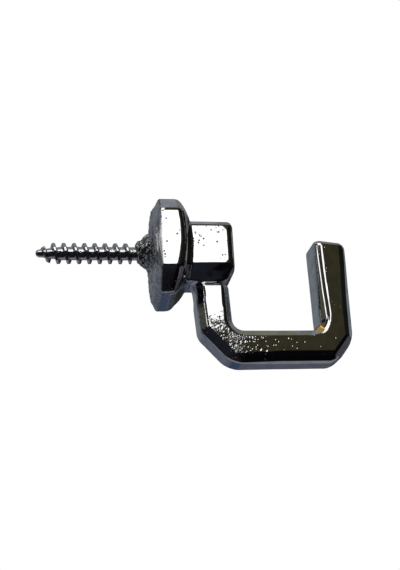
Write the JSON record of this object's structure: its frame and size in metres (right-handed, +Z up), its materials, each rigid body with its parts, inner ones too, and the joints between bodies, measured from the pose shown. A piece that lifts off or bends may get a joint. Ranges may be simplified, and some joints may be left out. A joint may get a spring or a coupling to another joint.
{
  "type": "screw hook",
  "caption": "Square screw hook: a bevelled bar bent in a squared U hangs from a block and flange, and a wood screw behind the flange fixes it to a wall or board.",
  "frame": {"origin": "the point where the screw's axis meets the plane of the flange's back face, which lies against the wall", "axes": "+X away from the wall along the reach of the hook, +Z up towards the open side of the hook, and the screw points along -X"},
  "size_m": [0.0592, 0.0186, 0.0312],
  "materials": {
    "chrome_casting": "polished chrome plate over a casting with small pits",
    "chrome_screw": "bright plated steel thread"
  },
  "bodies": {
    "root": {"hook_body": "chrome_casting", "wood_screw": "chrome_screw"}
  },
  "joints": []
}
